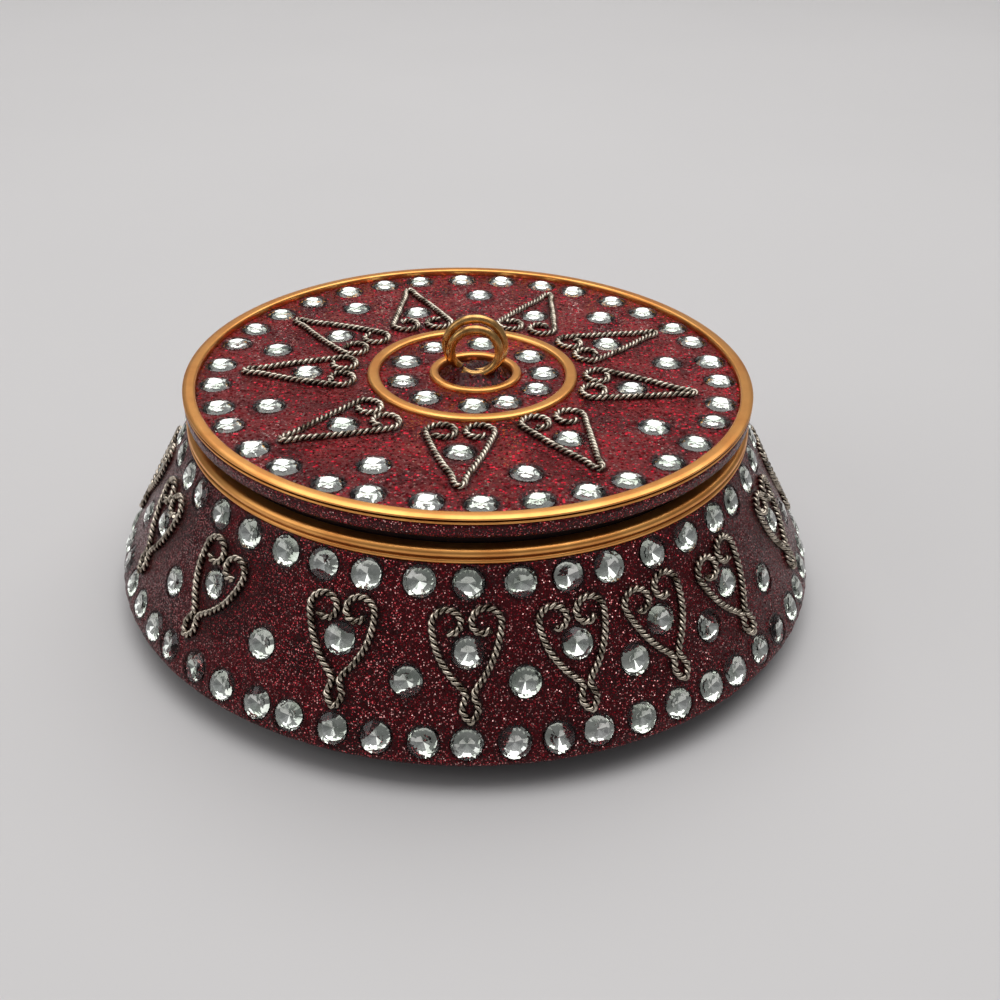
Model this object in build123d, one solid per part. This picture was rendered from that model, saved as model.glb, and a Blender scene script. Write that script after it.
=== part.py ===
from build123d import *
from math import cos, degrees, hypot, pi, radians, sin
import os

# Enamelled trinket box with a lift-off lid, in millimetres.
# The origin is on the axis of the box, on the surface that it stands on, and Z is up.
# Azimuths are in degrees from the front, -Y, towards +X.

# Spun metal pan
sheet = 0.8
edge_diameter = 100.0
edge_height = 4.1
foot_inset = 11.4
shoulder_height = 24.6
neck_height = 3.6
neck_inset = 2.1

# Lid
lid_diameter = 78.0
lid_overhang = 0.2
collar_depth = 4.0
collar_clearance = 0.4

# Enamel coats
coat = 1.2
coat_lip = 0.7
lip_bevel = 0.6
band_coat = 0.75
band_height = 1.75

# Gilt beads and rings
ring_fit = 0.05
bead_bevel = 0.3
groove_depth = 0.3
groove_width = 0.2
base_ring_height = 1.9
base_groove_share = 0.4
rim_ring_width = 1.7
rim_ring_rise = 0.8
middle_ring_diameter = 28.0
middle_ring_width = 1.6
middle_ring_shift = 0.4
centre_ring_diameter = 12.8
centre_ring_width = 1.3
centre_shift = 0.8
small_ring_rise = 0.55

# Ring handle, two turns of gilt wire with both ends buried in a mound
handle_wire = 1.2
handle_sides = 8
handle_inner_turn = 6.4
handle_outer_turn = 7.8
handle_pitch = 1.65
handle_bed = 0.9
handle_step = 0.4
mound_rise = 1.0
mound_top_diameter = 7.4
mound_foot_diameter = 9.6

# Cut stones
flank_stone = 3.9
lid_stone = 4.2
stone_table = 0.5
stone_height = 0.185
seat_gap = 0.02

# Stone rows, as distances down the flank or in from the rings that they follow
top_row_count = 43
top_row_slant = 2.2
bottom_row_count = 57
bottom_row_margin = 0.55
rim_row_count = 34
rim_row_margin = 0.5
rim_row_phase = 2.3
centre_row_margin = 0.35
row_unevenness = 0.6

# Twisted wire motifs, set between the rows
wire = 0.94
wire_rise = 0.6
curl_angle = 300
curl_steps = 6
flank_motif_gap = 0.2
flank_motif_side_gap = 2.05
lid_motif_inner_gap = 0.75
lid_motif_outer_gap = 0.9
lid_motif_side_gap = 0.36
field_stone_share = 0.27
lid_field_gap = 2.1

# Shapes of the motifs, as shares of their height, across and down from the stone in the middle
flank_motif_shares = {
    "half_width": 0.298, "curl": 0.149, "curl_end": 0.086, "curl_drop": 0.254,
    "bulge": 0.063, "waist": (0.039, 0.35), "tail": (0.071, 0.477), "end": 0.597,
}
lid_motif_shares = {
    "half_width": 0.282, "curl": 0.138, "curl_end": 0.083, "curl_drop": 0.307,
    "bulge": 0.013, "waist": (0.058, 0.40), "tail": (0.042, 0.50), "end": 0.555,
}
tail_share = 0.6

# Hand-set azimuths, with the lean of each motif
flank_motif_angles = [
    (0, 3), (17, 5), (32, 10), (48, 12), (71, 0), (91, -6), (111, 4), (131, -3), (152, 8),
    (172, 0), (192, -5), (212, 6), (232, -8), (252, 3), (272, -4), (292, 0), (314, -12), (340, 5),
]
flank_field_angles = [
    8.5, 26, 41, 58.5, 81, 101, 121, 142, 162, 182, 202, 222, 242, 262, 282, 304, 327, 351,
]
lid_motif_angles = [
    (357, 3), (34, -12), (79, 0), (117, 0), (154, 8), (201, -10), (238, -4), (271, 0), (314, -12),
]
lid_field_angles = [14, 57, 98, 135, 177, 218, 256, 292, 336]
centre_stone_angles = [1, 27, 61, 91, 125, 172, 214, 250, 287, 321]

# Heights and radii that follow from the sizes
seat_height = shoulder_height + neck_height
plate_top = seat_height + sheet
lac_top = plate_top + coat
rim_top = lac_top + rim_ring_rise
edge_radius = edge_diameter / 2
lid_radius = lid_diameter / 2
shoulder_radius = lid_radius - lid_overhang
neck_radius = lid_radius - neck_inset
collar_radius = neck_radius - sheet - collar_clearance
plate_radius = lid_radius - band_coat

# The flank of the enamel is a straight flare from the shoulder to the widest edge
flank_spread = edge_radius - shoulder_radius
flank_drop = shoulder_height - edge_height
flank_length = hypot(flank_spread, flank_drop)
flank_out = flank_drop / flank_length
flank_up = flank_spread / flank_length
wall_radius = shoulder_radius - coat / flank_out

# The stones and the wire share the enamel out between them
bottom_row_slant = flank_length - bottom_row_margin - flank_stone / 2
flank_motif_top = top_row_slant + (flank_stone + wire) / 2 + flank_motif_gap
flank_motif_height = bottom_row_slant - (flank_stone + wire) / 2 - flank_motif_gap - flank_motif_top
flank_motif_slant = flank_motif_top + (1 - flank_motif_shares["end"]) * flank_motif_height
flank_field_slant = flank_motif_slant + field_stone_share * flank_motif_height
rim_row_radius = lid_radius - rim_ring_width - rim_row_margin - lid_stone / 2
centre_row_radius = middle_ring_diameter / 2 - middle_ring_width - centre_row_margin - lid_stone / 2
lid_field_radius = rim_row_radius - lid_stone - lid_field_gap
lid_motif_outer = rim_row_radius - (lid_stone + wire) / 2 - lid_motif_outer_gap
lid_motif_inner = middle_ring_diameter / 2 + middle_ring_shift + wire / 2 + lid_motif_inner_gap
lid_motif_height = lid_motif_outer - lid_motif_inner
lid_motif_radius = lid_motif_outer - lid_motif_shares["end"] * lid_motif_height


def wall_at(height):
    """Radius of the outside of the sheet metal, under the enamel."""
    return wall_radius + (shoulder_height - height) * flank_spread / flank_drop


def turned(points):
    """A solid turned about Z from radius and height points."""
    outline = make_face(Polyline(*points, close=True))
    return revolve(Plane.XZ * outline, Axis.Z)


def moved(shape, x):
    return Pos(x, 0, 0) * shape


def inset(points, wall):
    """The inside of a sheet that follows an open outline, with mitred corners."""
    lines = []
    for (r0, z0), (r1, z1) in zip(points, points[1:]):
        run = hypot(r1 - r0, z1 - z0)
        aside = (-(z1 - z0) / run * wall, (r1 - r0) / run * wall)
        lines.append(((r0 + aside[0], z0 + aside[1]), (r1 - r0, z1 - z0), (r1 + aside[0], z1 + aside[1])))
    inside = [lines[0][0]]
    for (p, d, _), (q, e, _) in zip(lines, lines[1:]):
        cross = d[0] * e[1] - d[1] * e[0]
        along = ((q[0] - p[0]) * e[1] - (q[1] - p[1]) * e[0]) / cross
        inside.append((p[0] + d[0] * along, p[1] + d[1] * along))
    inside.append(lines[-1][2])
    return inside


# Box body


def base_pan():
    """Spun bowl: a flat foot, a flared wall and a plain upright neck that the lid rests on."""
    roll_foot = edge_height - coat_lip
    outside = [
        (0, 0),
        (edge_radius - foot_inset, 0),
        (wall_at(roll_foot), roll_foot),
        (wall_radius, shoulder_height),
        (neck_radius, shoulder_height),
        (neck_radius, seat_height),
    ]
    return turned(outside + inset(outside, sheet)[::-1])


def base_enamel():
    """Thick coat on the flank, rolled under at the widest edge."""
    roll_foot = edge_height - coat_lip
    return turned([
        (shoulder_radius, shoulder_height),
        (edge_radius, edge_height),
        (edge_radius - lip_bevel, roll_foot),
        (wall_at(roll_foot), roll_foot),
        (wall_radius, shoulder_height),
    ])


def base_rim_ring():
    """Gilt ring round the foot of the neck, with two beads and a groove between them."""
    low = shoulder_height
    high = low + base_ring_height
    middle = low + base_groove_share * base_ring_height
    inner = neck_radius + ring_fit
    outer = lid_radius - lid_overhang / 2
    return turned([
        (inner, low),
        (outer, low),
        (outer, middle - groove_width),
        (outer - groove_depth, middle),
        (outer, middle + groove_width),
        (outer - bead_bevel, high),
        (inner, high),
    ])


# Lid


def lid_pan():
    """Flat spun disc with a collar that drops inside the neck."""
    return turned([
        (0, seat_height),
        (collar_radius - sheet, seat_height),
        (collar_radius - sheet, seat_height - collar_depth),
        (collar_radius, seat_height - collar_depth),
        (collar_radius, seat_height),
        (plate_radius, seat_height),
        (plate_radius, plate_top),
        (0, plate_top),
    ])


def lid_rim_ring():
    """Gilt ring round the lid: a broad bead on top, a groove and a fine bead under it."""
    inner = lid_radius - rim_ring_width
    band_top = seat_height + band_height
    groove = band_top + 2 * groove_width
    return turned([
        (inner, plate_top),
        (inner, rim_top - bead_bevel),
        (inner + bead_bevel, rim_top),
        (lid_radius - bead_bevel, rim_top),
        (lid_radius, rim_top - bead_bevel),
        (lid_radius - groove_depth, groove),
        (lid_radius, band_top),
        (plate_radius - ring_fit, band_top),
        (plate_radius - ring_fit, plate_top),
    ])


def lid_band_enamel():
    """Coat on the upright edge of the lid."""
    outer = lid_radius - ring_fit
    return turned([
        (plate_radius, seat_height),
        (outer, seat_height),
        (outer, seat_height + band_height),
        (plate_radius, seat_height + band_height),
    ])


def lid_outer_enamel():
    """Coat between the rim ring and the middle ring."""
    disc = Circle(lid_radius - rim_ring_width - ring_fit)
    hole = Circle(middle_ring_diameter / 2 + ring_fit)
    field = disc - Pos(middle_ring_shift, 0) * hole
    return Pos(0, 0, plate_top) * extrude(field, coat)


def lid_inner_enamel():
    """Coat between the middle ring and the centre ring."""
    disc = Circle(middle_ring_diameter / 2 - middle_ring_width - ring_fit)
    hole = Circle(centre_ring_diameter / 2 + ring_fit)
    field = Pos(middle_ring_shift, 0) * disc - Pos(centre_shift, 0) * hole
    return Pos(0, 0, plate_top) * extrude(field, coat)


def lid_ring(diameter, width, shift):
    """Gilt ring that stands on the lid plate and parts two fields of enamel."""
    outer = diameter / 2
    inner = outer - width
    top = lac_top + small_ring_rise
    return moved(turned([
        (inner, plate_top),
        (outer, plate_top),
        (outer, top - bead_bevel),
        (outer - width / 2, top),
        (inner, top - bead_bevel),
    ]), shift)


# Handle


def handle_path():
    """Two turns made of half circles, whose ends all run level along X."""
    low = plate_top + handle_bed
    start = low + 2 * handle_step
    crossing = low + handle_step
    heights = [start, start + handle_inner_turn, crossing, crossing + handle_outer_turn, low]
    steps = [(i - 2) * handle_pitch / 2 for i in range(len(heights))]
    points = [Vector(centre_shift, y, z) for y, z in zip(steps, heights)]
    arcs = []
    side = 1
    for start, end in zip(points, points[1:]):
        reach = (end - start).length / 2
        arcs.append(ThreePointArc(start, (start + end) / 2 + Vector(side * reach, 0, 0), end))
        side = -side
    return arcs


def handle_ring():
    path = Wire(handle_path())
    section = Plane(path @ 0, z_dir=path % 0) * RegularPolygon(handle_wire / 2, handle_sides)
    return sweep(section, path=path)


def handle_gap():
    """Least clear gap between the turns, measured on points along the path."""
    path = Wire(handle_path())
    count = 160
    spots = [path @ (i / count) for i in range(count + 1)]
    apart = count // 4
    return min(
        (spots[i] - spots[j]).length - handle_wire
        for i in range(count + 1)
        for j in range(i + apart, count + 1)
    )


def handle_mound(ring):
    """Lump of lac that fills the centre ring and holds the ends of the handle."""
    inner = centre_ring_diameter / 2 - centre_ring_width - ring_fit
    mound = turned([
        (0, plate_top),
        (inner, plate_top),
        (inner, lac_top - small_ring_rise),
        (mound_foot_diameter / 2, lac_top),
        (mound_top_diameter / 2, lac_top + mound_rise),
        (0, lac_top + mound_rise),
    ])
    return moved(mound, centre_shift) - ring


# Cut stones


def cut_stone(diameter):
    """Flat-backed stone: eight-sided girdle, square table and twelve crown facets."""
    girdle = [Vector(diameter / 2, 0, 0).rotate(Axis.Z, 45 * k) for k in range(8)]
    table_radius = diameter / 2 * stone_table
    top = diameter * stone_height
    table = [Vector(table_radius, 0, top).rotate(Axis.Z, 90 * k) for k in range(4)]
    facets = [girdle[::-1], table]
    for k in range(4):
        here = table[k]
        facets.append([girdle[2 * k - 1], girdle[2 * k], here])
        facets.append([girdle[2 * k], girdle[2 * k + 1], here])
        facets.append([girdle[2 * k + 1], table[(k + 1) % 4], here])
    return faceted(facets)


def faceted(facets):
    """A solid with flat faces, each given by its corners."""
    return Solid(Shell([Face(Wire.make_polygon(corners)) for corners in facets]))


def flank_radius(slant):
    return shoulder_radius + flank_up * slant


def on_flank(azimuth, slant):
    """Place on the flank, its outward direction and the direction round the box."""
    turn = radians(azimuth)
    radius = flank_radius(slant)
    height = shoulder_height - flank_out * slant
    outward = Vector(flank_out * sin(turn), -flank_out * cos(turn), flank_up)
    around = Vector(cos(turn), sin(turn), 0)
    spot = Vector(radius * sin(turn), -radius * cos(turn), height) + outward * seat_gap
    return spot, outward, around


def on_lid(azimuth, radius, shift=0.0):
    """Place on the top of the lid, its outward direction and the direction round it."""
    turn = radians(azimuth)
    spot = Vector(shift + radius * sin(turn), -radius * cos(turn), lac_top)
    return spot, Vector(0, 0, 1), Vector(cos(turn), sin(turn), 0)


def set_stones(diameter, seats):
    stone = cut_stone(diameter)
    return Compound([Plane(spot, x_dir=around, z_dir=out) * stone for spot, out, around in seats])


def uneven(k):
    """A steady unevenness between -1 and 1, as of hand work."""
    quick, slow = 2.4, 0.9
    return sin(quick * k) * cos(slow * k)


def row_azimuths(count, diameter, radius, phase=0.0):
    """Even steps round a row, each stone moved by a share of the room beside it."""
    step = 360 / count
    spare = step - degrees(diameter / radius)
    return [phase + k * step + uneven(k) * row_unevenness * spare / 2 for k in range(count)]


# Twisted wire motifs


def motif_line(shares, height, width):
    """The line of a motif, from the inner end of one curl to that of the other."""
    half = motif_half(**shares)
    whole = half + [(0, shares["end"])] + [(-across, down) for across, down in half[::-1]]
    stretch = width / (2 * shares["half_width"])
    return [(across * stretch, down * height) for across, down in whole]


def motif_width(angles, radius, side_gap):
    """Width that leaves the gap between the two nearest neighbours, at the radius of their curls."""
    azimuths = [azimuth for azimuth, _ in angles]
    following = azimuths[1:] + azimuths[:1]
    step = min((after - before) % 360 for before, after in zip(azimuths, following))
    return 2 * radius * sin(radians(step / 2)) - wire - side_gap


def flank_line():
    curls = flank_radius(flank_motif_slant - flank_motif_shares["curl_drop"] * flank_motif_height)
    width = motif_width(flank_motif_angles, curls, flank_motif_side_gap)
    return motif_line(flank_motif_shares, flank_motif_height, width)


def lid_line():
    curls = lid_motif_radius - lid_motif_shares["curl_drop"] * lid_motif_height
    width = motif_width(lid_motif_angles, curls, lid_motif_side_gap)
    return motif_line(lid_motif_shares, lid_motif_height, width)


def motif_half(half_width, curl, curl_end, curl_drop, bulge, waist, tail, end, legs=3):
    """One side of a motif, from the inner end of its curl to its tail, as across and down."""
    centre = (half_width - curl, -curl_drop)
    points = []
    for k in range(curl_steps, -1, -1):
        turn = radians(curl_angle * k / curl_steps)
        reach = curl + (curl_end - curl) * k / curl_steps
        points.append((centre[0] + reach * cos(turn), centre[1] - reach * sin(turn)))
    start = points[-1]
    for k in range(1, legs + 1):
        share = k / (legs + 1)
        across = start[0] + (waist[0] - start[0]) * share + bulge * sin(pi * share)
        points.append((across, start[1] + (waist[1] - start[1]) * share))
    return points + [waist, tail, (tail_share * tail[0], (tail[1] + 2 * end) / 3)]


def leant(points, lean):
    turn = radians(lean)
    return [(u * cos(turn) + w * sin(turn), w * cos(turn) - u * sin(turn)) for u, w in points]


def laid_wire(seats):
    """A wire bedded along seats on the enamel: flat below and crowned above."""
    spots = [seat[0] for seat in seats]
    sharpest = 0.7
    rings = []
    for k, (spot, out, _) in enumerate(seats):
        before = spots[max(k - 1, 0)]
        after = spots[min(k + 1, len(spots) - 1)]
        run = (after - before).normalized()
        side = out.cross(run).normalized()
        here = (spot - before).normalized() if k else run
        mitre = wire / 2 / max(here.dot(run), sharpest)
        rings.append([spot - side * mitre, spot + side * mitre, spot + out * wire_rise])
    facets = [rings[0][::-1], rings[-1]]
    for near, far in zip(rings, rings[1:]):
        for k in range(3):
            facets.append([near[k - 1], near[k], far[k]])
            facets.append([near[k - 1], far[k], far[k - 1]])
    return faceted(facets)


def flank_wire(azimuth, lean):
    seats = []
    for across, down in leant(flank_line(), lean):
        slant = flank_motif_slant + down
        seats.append(on_flank(azimuth + degrees(across / flank_radius(slant)), slant))
    return laid_wire(seats)


def lid_wire(azimuth, lean):
    centre, up, around = on_lid(azimuth, lid_motif_radius)
    outward = around.cross(up)
    seats = [
        (centre + around * across + outward * down, up, around)
        for across, down in leant(lid_line(), lean)
    ]
    return laid_wire(seats)


# All the pieces, by name


def flank_stones(azimuths, slant):
    return set_stones(flank_stone, [on_flank(azimuth, slant) for azimuth in azimuths])


def lid_stones(azimuths, radius, shift=0.0):
    return set_stones(lid_stone, [on_lid(azimuth, radius, shift) for azimuth in azimuths])


def flank_row(count, slant):
    return flank_stones(row_azimuths(count, flank_stone, flank_radius(slant)), slant)


def lid_row():
    return lid_stones(row_azimuths(rim_row_count, lid_stone, rim_row_radius, rim_row_phase), rim_row_radius)


def build():
    ring = handle_ring()
    pieces = {
        "base_pan": base_pan(),
        "base_enamel": base_enamel(),
        "base_rim_ring": base_rim_ring(),
        "lid_pan": lid_pan(),
        "lid_rim_ring": lid_rim_ring(),
        "lid_band_enamel": lid_band_enamel(),
        "lid_outer_enamel": lid_outer_enamel(),
        "lid_inner_enamel": lid_inner_enamel(),
        "lid_middle_ring": lid_ring(middle_ring_diameter, middle_ring_width, middle_ring_shift),
        "lid_centre_ring": lid_ring(centre_ring_diameter, centre_ring_width, centre_shift),
        "handle_ring": ring,
        "handle_mound": handle_mound(ring),
        "base_top_stones": flank_row(top_row_count, top_row_slant),
        "base_bottom_stones": flank_row(bottom_row_count, bottom_row_slant),
        "base_motif_stones": flank_stones([angle for angle, _ in flank_motif_angles], flank_motif_slant),
        "base_field_stones": flank_stones(flank_field_angles, flank_field_slant),
        "lid_rim_stones": lid_row(),
        "lid_motif_stones": lid_stones([angle for angle, _ in lid_motif_angles], lid_motif_radius),
        "lid_field_stones": lid_stones(lid_field_angles, lid_field_radius),
        "lid_centre_stones": lid_stones(centre_stone_angles, centre_row_radius, middle_ring_shift),
    }
    for k, (azimuth, lean) in enumerate(flank_motif_angles, start=1):
        pieces[f"base_motif_wire_{k:02d}"] = flank_wire(azimuth, lean)
    for k, (azimuth, lean) in enumerate(lid_motif_angles, start=1):
        pieces[f"lid_motif_wire_{k:02d}"] = lid_wire(azimuth, lean)
    return pieces


os.makedirs("parts", exist_ok=True)
for name, piece in build().items():
    export_step(piece, f"parts/{name}.step")
print(f"least gap between the turns of the handle: {handle_gap():.2f} mm")
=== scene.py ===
import math
import random

import bpy
import numpy as np
from mathutils import Matrix, Vector, noise


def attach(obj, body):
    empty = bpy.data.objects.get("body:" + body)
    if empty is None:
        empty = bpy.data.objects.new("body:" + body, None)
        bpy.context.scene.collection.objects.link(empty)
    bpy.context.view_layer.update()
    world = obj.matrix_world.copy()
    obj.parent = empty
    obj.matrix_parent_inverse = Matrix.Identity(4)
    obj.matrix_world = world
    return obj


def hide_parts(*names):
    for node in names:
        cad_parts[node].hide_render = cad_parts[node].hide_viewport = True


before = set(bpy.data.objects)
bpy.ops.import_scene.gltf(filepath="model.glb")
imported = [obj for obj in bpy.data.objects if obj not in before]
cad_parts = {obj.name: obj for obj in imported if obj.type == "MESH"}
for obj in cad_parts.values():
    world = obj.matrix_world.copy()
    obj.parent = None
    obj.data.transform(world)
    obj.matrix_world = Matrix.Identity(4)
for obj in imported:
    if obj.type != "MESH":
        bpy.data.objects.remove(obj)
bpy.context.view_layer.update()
print("frame loaded with", len(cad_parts), "nodes")

mm = 0.001
hand = random.Random(12)  # the unevenness of hand work, the same every run

# Sizes of the box in millimetres; azimuths are degrees from the front towards +X
boxSizes = {
    "edgeRadius": 50.0,
    "edgeHeight": 4.1,
    "shoulderRadius": 38.8,
    "shoulderHeight": 24.6,
    "sheet": 0.8,
    "coat": 1.2,
    "neckRadius": 36.9,
    "seatHeight": 28.2,
    "lidRadius": 39.0,
    "plateRadius": 38.25,
    "plateTop": 29.0,
    "lacTop": 30.2,
    "rimTop": 31.0,
    "middleShift": 0.4,
    "centreShift": 0.8,
}
flankSpread = boxSizes["edgeRadius"] - boxSizes["shoulderRadius"]
flankDrop = boxSizes["shoulderHeight"] - boxSizes["edgeHeight"]
flankLength = math.hypot(flankSpread, flankDrop)
flankOut, flankUp = flankDrop / flankLength, flankSpread / flankLength
wallRadius = boxSizes["shoulderRadius"] - boxSizes["coat"] / flankOut


# Mesh helpers


def dress(piece, body, slot, replaced):
    piece.data.materials.append(finishes[slot])
    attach(piece, body)
    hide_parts(*replaced)


def addMesh(name, points, faces, body, slot, replaced, smooth=True, sharpAngle=None):
    mesh = bpy.data.meshes.new(name)
    mesh.from_pydata([tuple(p) for p in points], [], faces)
    mesh.validate()
    mesh.update()
    if smooth:
        mesh.polygons.foreach_set("use_smooth", [True] * len(mesh.polygons))
        if sharpAngle:
            mesh.set_sharp_from_angle(angle=math.radians(sharpAngle))
    piece = bpy.data.objects.new(name, mesh)
    bpy.context.scene.collection.objects.link(piece)
    dress(piece, body, slot, replaced)
    return piece


def addWire(name, runs, radius, roundness, body, slot, node):
    # round wires through runs of places in metres
    curve = bpy.data.curves.new(name, "CURVE")
    curve.dimensions = "3D"
    curve.bevel_depth = radius * mm
    curve.bevel_resolution = roundness
    curve.use_fill_caps = True
    for run in runs:
        spline = curve.splines.new("POLY")
        spline.points.add(len(run) - 1)
        spline.points.foreach_set("co", [value for s in run for value in (s.x, s.y, s.z, 1)])
        spline.use_smooth = True
    piece = bpy.data.objects.new(name, curve)
    bpy.context.scene.collection.objects.link(piece)
    dress(piece, body, slot, [node])


def gridFaces(columns, rows):
    # the faces of a closed outline of this many points, carried once round the box
    faces = []
    for c in range(columns):
        here, there = c * rows, (c + 1) % columns * rows
        for k in range(rows):
            far = (k + 1) % rows
            faces.append((here + k, there + k, there + far, here + far))
    return faces


def directions(columns):
    # level directions round the box, from the front towards +X
    turns = [2 * math.pi * c / columns for c in range(columns)]
    return [Vector((math.sin(turn), -math.cos(turn), 0)) for turn in turns]


def lumpiness(way, coarse, share, fine):
    return noise.noise(way * coarse) + share * noise.noise(way * fine)


# Material helpers


def newFinish(name):
    finish = bpy.data.materials.new(name)
    finish.use_nodes = True
    tree = finish.node_tree
    place = addNode(tree, "ShaderNodeTexCoord").outputs["Object"]
    return finish, tree, tree.nodes["Principled BSDF"], place


def feed(tree, node, sockets):
    # each socket takes the output of another node, or a constant
    for socket, value in sockets.items():
        if isinstance(value, bpy.types.NodeSocket):
            tree.links.new(value, node.inputs[socket])
        else:
            node.inputs[socket].default_value = value


def addNode(tree, kind, sockets=None, **settings):
    node = tree.nodes.new(kind)
    for key, value in settings.items():
        setattr(node, key, value)
    feed(tree, node, sockets or {})
    return node


def grain(tree, place, look):
    return addNode(tree, "ShaderNodeTexNoise", {"Vector": place, **look}).outputs["Fac"]


def bumped(tree, height, strength, depth):
    sockets = {"Height": height, "Strength": strength, "Distance": depth * mm}
    return addNode(tree, "ShaderNodeBump", sockets).outputs[0]


def between(tree, factor, low, high):
    sockets = {"Value": factor, "To Min": low, "To Max": high}
    return addNode(tree, "ShaderNodeMapRange", sockets).outputs[0]


def mixed(tree, factor, first, second):
    # inputs 6 and 7 and output 2 are the colours of this node
    sockets = {"Factor": factor, 6: first, 7: second}
    return addNode(tree, "ShaderNodeMix", sockets, data_type="RGBA").outputs[2]


def ramp(tree, factor, stops):
    node = addNode(tree, "ShaderNodeValToRGB", {0: factor})
    for element, (place, colour) in zip(node.color_ramp.elements, (stops[0], stops[-1])):
        element.position = place
        element.color = (*colour, 1)
    for place, colour in stops[1:-1]:
        node.color_ramp.elements.new(place).color = (*colour, 1)
    return node.outputs[0]


crevice = {
    "samples": 6,
    "stops": [(0.35, (0, 0, 0)), (0.85, (1, 1, 1))],
}


def inCrevices(tree, colour, dark, reach):
    # painted shade where the surface faces itself, as between strands and in grooves
    opening = addNode(tree, "ShaderNodeAmbientOcclusion", {"Distance": reach * mm},
                      samples=crevice["samples"], only_local=True)
    return mixed(tree, ramp(tree, opening.outputs["AO"], crevice["stops"]), (*dark, 1), colour)


# Finishes; bumps are (strength, depth in millimetres)

lacLook = {
    # one lac in two copies: the lid copy's lac, deep and glint colours are lighter, painted light
    # on the top, and the flank copy's are darker, painted shade on the sides
    "flank": {
        "lac": (0.060, 0.001, 0.003), "deep": (0.024, 0.0005, 0.001),
        "flakes": 0.46, "flakeSize": 0.17, "tilt": 0.85, "glint": 0.70,
    },
    "lid": {
        "lac": (0.260, 0.020, 0.022), "deep": (0.080, 0.004, 0.006),
        "flakes": 0.56, "flakeSize": 0.35, "tilt": 1.40, "glint": 1.0,
    },
    "flakeReach": 0.52,
    "flakeColours": [
        (0.0, (0.12, 0.002, 0.006)),
        (0.42, (0.44, 0.010, 0.026)),
        (0.70, (0.88, 0.11, 0.13)),
        (1.0, (1.0, 0.64, 0.60)),
    ],
    "patches": {"Scale": 160, "Detail": 4},
    "patchEnds": (0.35, 0.65),
    "shadeDepth": 0.88,
    "roughness": (0.36, 0.20),
    "skin": {"Scale": 900, "Detail": 2},
    "skinBump": (0.25, 0.05),
    "gloss": {
        "Specular IOR Level": 0.15,
        "Coat Weight": 0.2,
        "Coat Roughness": 0.14,
        "Coat IOR": 1.5,
    },
}


def glitterLac(name, look):
    finish, tree, shader, place = newFinish(name)

    # about one cell in two is a flake, each with a colour and a lean of its own
    cells = addNode(tree, "ShaderNodeTexVoronoi",
                    {"Vector": place, "Scale": 1 / (look["flakeSize"] * mm)})
    parts = addNode(tree, "ShaderNodeSeparateColor", {0: cells.outputs["Color"]})
    chosen = addNode(tree, "ShaderNodeMath", {0: parts.outputs[0], 1: look["flakes"]},
                     operation="LESS_THAN")
    disc = addNode(tree, "ShaderNodeMath",
                   {0: cells.outputs["Distance"], 1: lacLook["flakeReach"]}, operation="LESS_THAN")
    flake = addNode(tree, "ShaderNodeMath", {0: chosen.outputs[0], 1: disc.outputs[0]},
                    operation="MULTIPLY").outputs[0]

    ground = ramp(tree, grain(tree, place, lacLook["patches"]),
                  [*zip(lacLook["patchEnds"], (look["deep"], look["lac"]))])
    glint = ramp(tree, parts.outputs[1], [
        (at, tuple(look["glint"] * v for v in tint)) for at, tint in lacLook["flakeColours"]])
    # a darker base colour from a point layer: painted shade round the stones and along the wires,
    # and the whole handle mound darker
    paintedShadeAndDarkMound = addNode(tree, "ShaderNodeAttribute", attribute_name="paintedShadeAndDarkMound")
    darker = between(tree, paintedShadeAndDarkMound.outputs["Fac"], 1.0, 1 - lacLook["shadeDepth"])
    shaded = addNode(tree, "ShaderNodeVectorMath",
                     {0: mixed(tree, flake, ground, glint), "Scale": darker}, operation="SCALE")

    tip = addNode(tree, "ShaderNodeVectorMath", {0: cells.outputs["Color"], 1: (0.5, 0.5, 0.5)},
                  operation="SUBTRACT")
    tilt = addNode(tree, "ShaderNodeVectorMath", {0: tip.outputs[0], "Scale": look["tilt"]},
                   operation="SCALE")
    normal = addNode(tree, "ShaderNodeNewGeometry").outputs["Normal"]
    lean = addNode(tree, "ShaderNodeVectorMath", {0: normal, 1: tilt.outputs[0]}, operation="ADD")
    level = addNode(tree, "ShaderNodeVectorMath", {0: lean.outputs[0]}, operation="NORMALIZE")

    feed(tree, shader, {
        "Base Color": shaded.outputs[0],
        "Metallic": flake,
        "Normal": level.outputs[0],
        "Roughness": between(tree, flake, *lacLook["roughness"]),
        "Coat Normal": bumped(tree, grain(tree, place, lacLook["skin"]), *lacLook["skinBump"]),
        **lacLook["gloss"],
    })
    return finish


# each groove colour is painted shade, laid in the crevices by inCrevices
turnedLook = {
    "gilt": {
        "worn": (0.82, 0.34, 0.09), "bright": (1.0, 0.48, 0.14), "groove": (0.10, 0.025, 0.008),
        "roughness": (0.40, 0.26), "lines": 0.25,
    },
    "spun": {
        "worn": (0.55, 0.53, 0.50), "bright": (0.74, 0.72, 0.69), "groove": (0.30, 0.29, 0.28),
        "roughness": (0.42, 0.24), "lines": 0.5,
    },
    "turning": {"Scale": 5200, "Detail": 3},
    "lineDepth": 0.03,
    "wear": {"Scale": 210, "Detail": 5},
    "wearEnds": (0.35, 0.6),
    "grooveReach": 0.6,
}


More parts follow.
